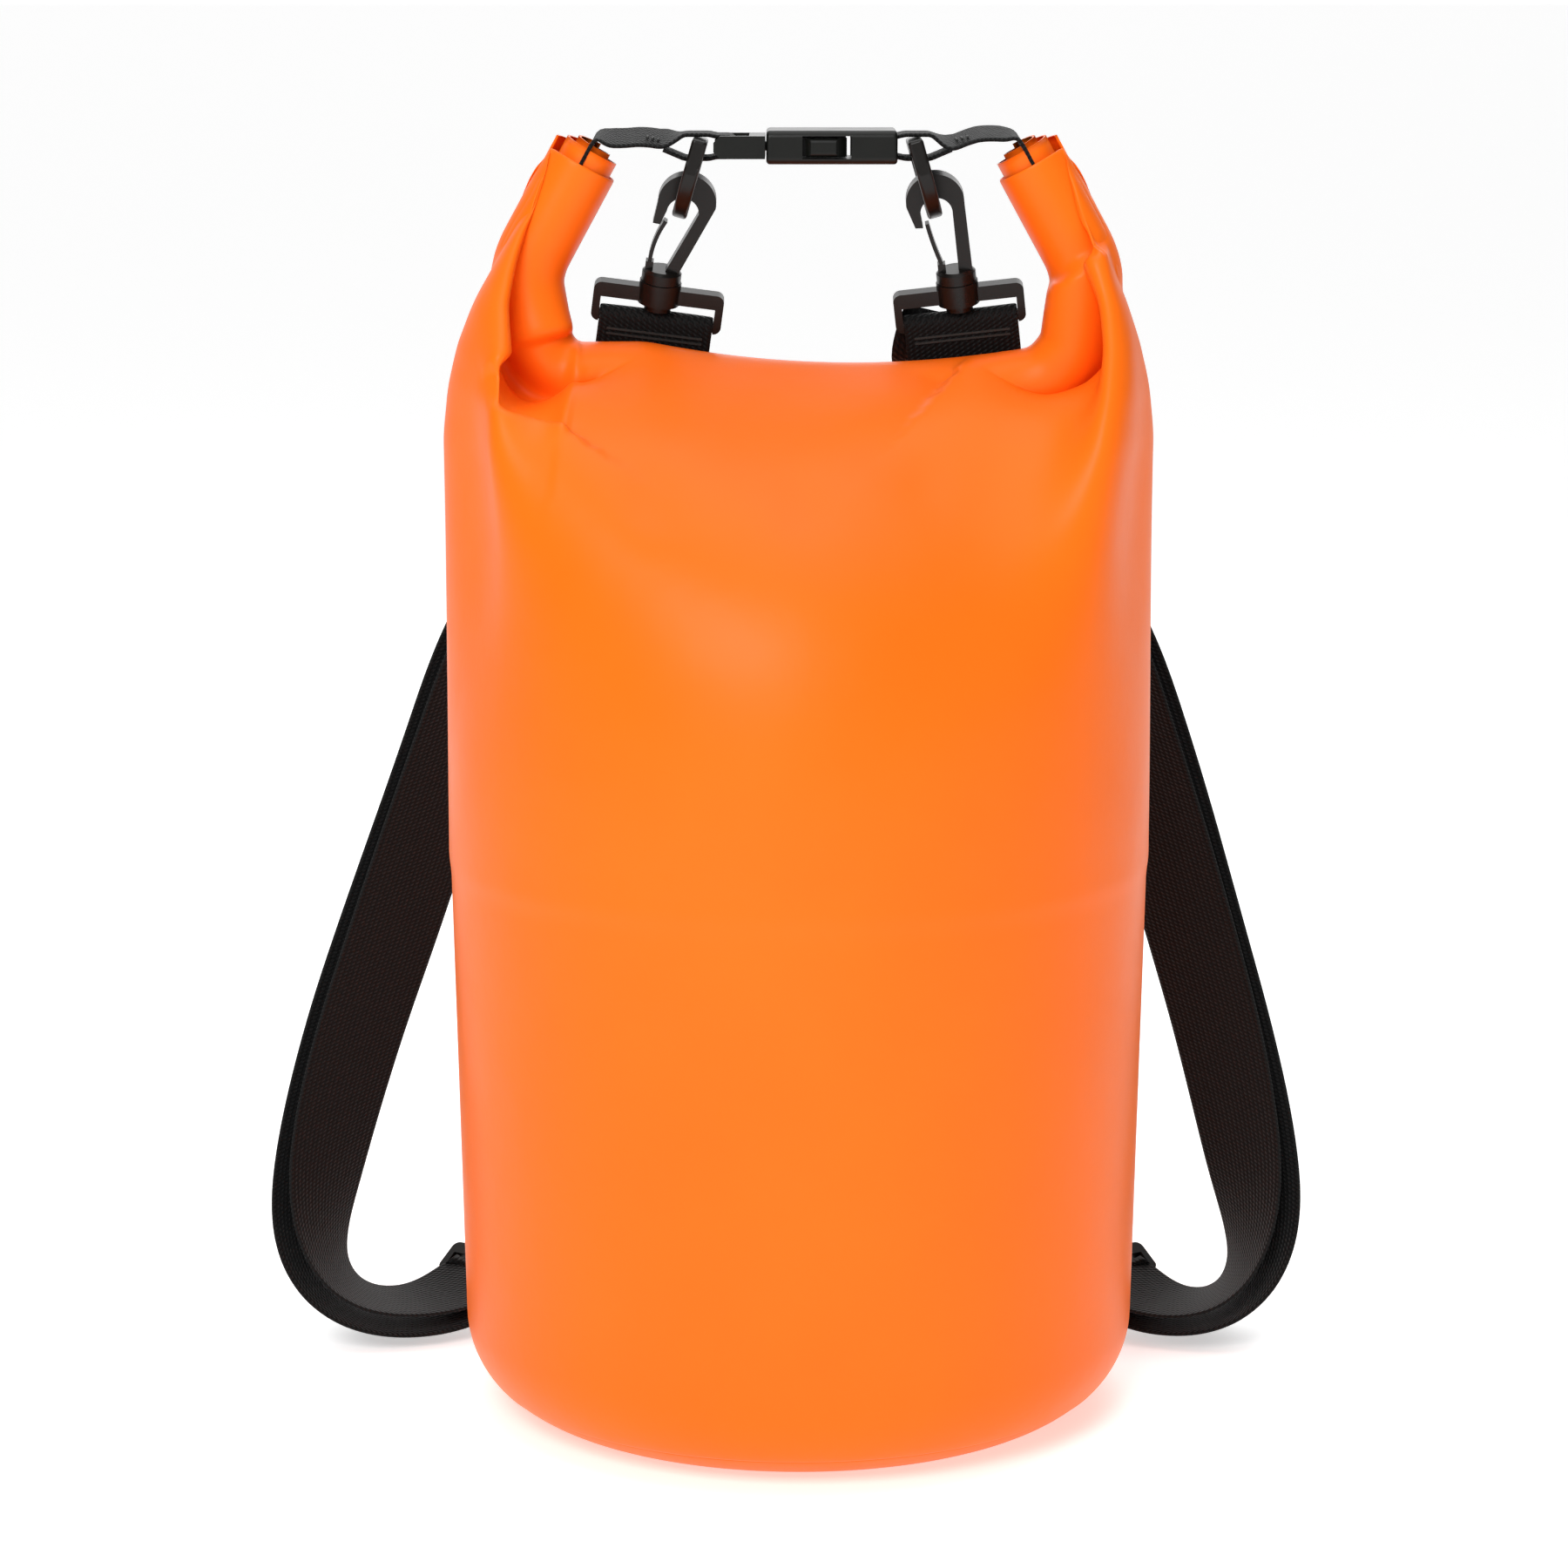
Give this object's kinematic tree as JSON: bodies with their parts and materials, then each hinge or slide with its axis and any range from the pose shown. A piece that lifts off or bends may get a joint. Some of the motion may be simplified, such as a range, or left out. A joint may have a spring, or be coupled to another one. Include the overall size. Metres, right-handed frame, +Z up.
{
  "type": "dry bag",
  "caption": "Roll-top dry bag with a side-release buckle closure, D-rings and detachable shoulder straps on swivel snap hooks.",
  "frame": {"origin": "centre of the flat underside of the base", "axes": "+X to the right as the bag is seen from the front, -Y to the front, +Z up along the bag"},
  "size_m": [0.3694, 0.2362, 0.4338],
  "materials": {
    "tarpaulin": "smooth satin PVC-coated tarpaulin, orange",
    "webbing": "ribbed black webbing",
    "acetal": "moulded black acetal, fine matt texture",
    "stiffener": "smooth plastic strip",
    "thread": "black sewing thread"
  },
  "bodies": {
    "bag": {"body_wall": "tarpaulin", "base_panel": "tarpaulin", "rolled_top": "tarpaulin", "stiffener_strip_front": "stiffener", "stiffener_strip_back": "stiffener", "buckle_socket": "acetal", "buckle_plug": "acetal", "closure_webbing_left": "webbing", "closure_stitching_left": "thread", "lower_patch_left": "tarpaulin", "lower_tab_left": "webbing", "closure_webbing_right": "webbing", "closure_stitching_right": "thread", "lower_patch_right": "tarpaulin", "lower_tab_right": "webbing"},
    "latch_front": {"buckle_latch_front": "acetal"},
    "latch_back": {"buckle_latch_back": "acetal"},
    "top_ring_left": {"top_d_ring_left": "acetal"},
    "lower_ring_left": {"lower_d_ring_left": "acetal"},
    "upper_hook_left": {"upper_hook_left": "acetal"},
    "upper_gate_left": {"upper_hook_gate_left": "acetal"},
    "strap_left": {"strap_webbing_left": "webbing", "strap_return_left": "webbing", "strap_stitching_left": "thread", "upper_hook_frame_left": "acetal", "lower_hook_frame_left": "acetal"},
    "slider_left": {"slider_left": "acetal"},
    "lower_hook_left": {"lower_hook_left": "acetal"},
    "lower_gate_left": {"lower_hook_gate_left": "acetal"},
    "top_ring_right": {"top_d_ring_right": "acetal"},
    "lower_ring_right": {"lower_d_ring_right": "acetal"},
    "upper_hook_right": {"upper_hook_right": "acetal"},
    "upper_gate_right": {"upper_hook_gate_right": "acetal"},
    "strap_right": {"strap_webbing_right": "webbing", "strap_return_right": "webbing", "strap_stitching_right": "thread", "upper_hook_frame_right": "acetal", "lower_hook_frame_right": "acetal"},
    "slider_right": {"slider_right": "acetal"},
    "lower_hook_right": {"lower_hook_right": "acetal"},
    "lower_gate_right": {"lower_hook_gate_right": "acetal"}
  },
  "joints": [
    {"name": "latch_front_press", "type": "hinge", "parent": "bag", "child": "latch_front", "pos_m": [-0.0104, -0.0095, 0.4265], "axis": [0, 0, 1], "range_deg": [0, 8], "stiffness_Nm_per_rad": 0.4},
    {"name": "latch_back_press", "type": "hinge", "parent": "bag", "child": "latch_back", "pos_m": [-0.0104, 0.0095, 0.4265], "axis": [0, 0, -1], "range_deg": [0, 8], "stiffness_Nm_per_rad": 0.4},
    {"name": "top_ring_swing_left", "type": "hinge", "parent": "bag", "child": "top_ring_left", "pos_m": [-0.033, 0, 0.4265], "axis": [0, 1, 0], "range_deg": [-4, 0]},
    {"name": "lower_ring_swing_left", "type": "hinge", "parent": "bag", "child": "lower_ring_left", "pos_m": [-0.07399, 0.09574, 0.036], "axis": [0, 0, 1], "range_deg": [-1, 0]},
    {"name": "upper_hook_swivel_left", "type": "hinge", "parent": "bag", "child": "upper_hook_left", "pos_m": [-0.046, 0.0097, 0.3815], "axis": [0.1327, -0.2635, 0.9555], "range_deg": [-10, 10]},
    {"name": "upper_gate_left", "type": "hinge", "parent": "upper_hook_left", "child": "upper_gate_left", "pos_m": [-0.0495, 0.00764, 0.38896], "axis": [0, 0.964, 0.2659], "range_deg": [0, 12], "stiffness_Nm_per_rad": 0.05},
    {"name": "strap_swing_left", "type": "hinge", "parent": "bag", "child": "strap_left", "pos_m": [-0.046, 0.0097, 0.3815], "axis": [0.1327, -0.2635, 0.9555], "range_deg": [-3, 5]},
    {"name": "slider_travel_left", "type": "slide", "parent": "strap_left", "child": "slider_left", "axis": [-0.5398, -0.2302, -0.8097], "range_m": [-0.012, 0.012], "deforming": ["strap_return_left"]},
    {"name": "lower_hook_swivel_left", "type": "hinge", "parent": "strap_left", "child": "lower_hook_left", "pos_m": [-0.10555, 0.08758, 0.02336], "axis": [0.4729, 0.7133, 0.5173], "range_deg": [-4, 6]},
    {"name": "lower_gate_left", "type": "hinge", "parent": "lower_hook_left", "child": "lower_gate_left", "pos_m": [-0.09839, 0.09023, 0.02709], "axis": [-0.2859, -0.4312, 0.8558], "range_deg": [0, 3.5], "stiffness_Nm_per_rad": 0.05},
    {"name": "top_ring_swing_right", "type": "hinge", "parent": "bag", "child": "top_ring_right", "pos_m": [0.0383, 0, 0.4265], "axis": [0, 1, 0], "range_deg": [-4, 0]},
    {"name": "lower_ring_swing_right", "type": "hinge", "parent": "bag", "child": "lower_ring_right", "pos_m": [0.07399, 0.09574, 0.036], "axis": [0, 0, -1], "range_deg": [-1, 0]},
    {"name": "upper_hook_swivel_right", "type": "hinge", "parent": "bag", "child": "upper_hook_right", "pos_m": [0.0525, 0.0097, 0.3815], "axis": [-0.115, -0.2641, 0.9576], "range_deg": [-10, 10]},
    {"name": "upper_gate_right", "type": "hinge", "parent": "upper_hook_right", "child": "upper_gate_right", "pos_m": [0.0472, 0.00794, 0.3879], "axis": [0, 0.964, 0.2659], "range_deg": [0, 12], "stiffness_Nm_per_rad": 0.05},
    {"name": "strap_swing_right", "type": "hinge", "parent": "bag", "child": "strap_right", "pos_m": [0.0525, 0.0097, 0.3815], "axis": [0.115, 0.2641, -0.9576], "range_deg": [-3, 5]},
    {"name": "slider_travel_right", "type": "slide", "parent": "strap_right", "child": "slider_right", "axis": [0.5398, -0.2302, -0.8097], "range_m": [-0.012, 0.012], "deforming": ["strap_return_right"]},
    {"name": "lower_hook_swivel_right", "type": "hinge", "parent": "strap_right", "child": "lower_hook_right", "pos_m": [0.10555, 0.08758, 0.02336], "axis": [0.4729, -0.7133, -0.5173], "range_deg": [-4, 6]},
    {"name": "lower_gate_right", "type": "hinge", "parent": "lower_hook_right", "child": "lower_gate_right", "pos_m": [0.09839, 0.09023, 0.02709], "axis": [-0.2859, 0.4312, -0.8558], "range_deg": [0, 3.5], "stiffness_Nm_per_rad": 0.05}
  ]
}
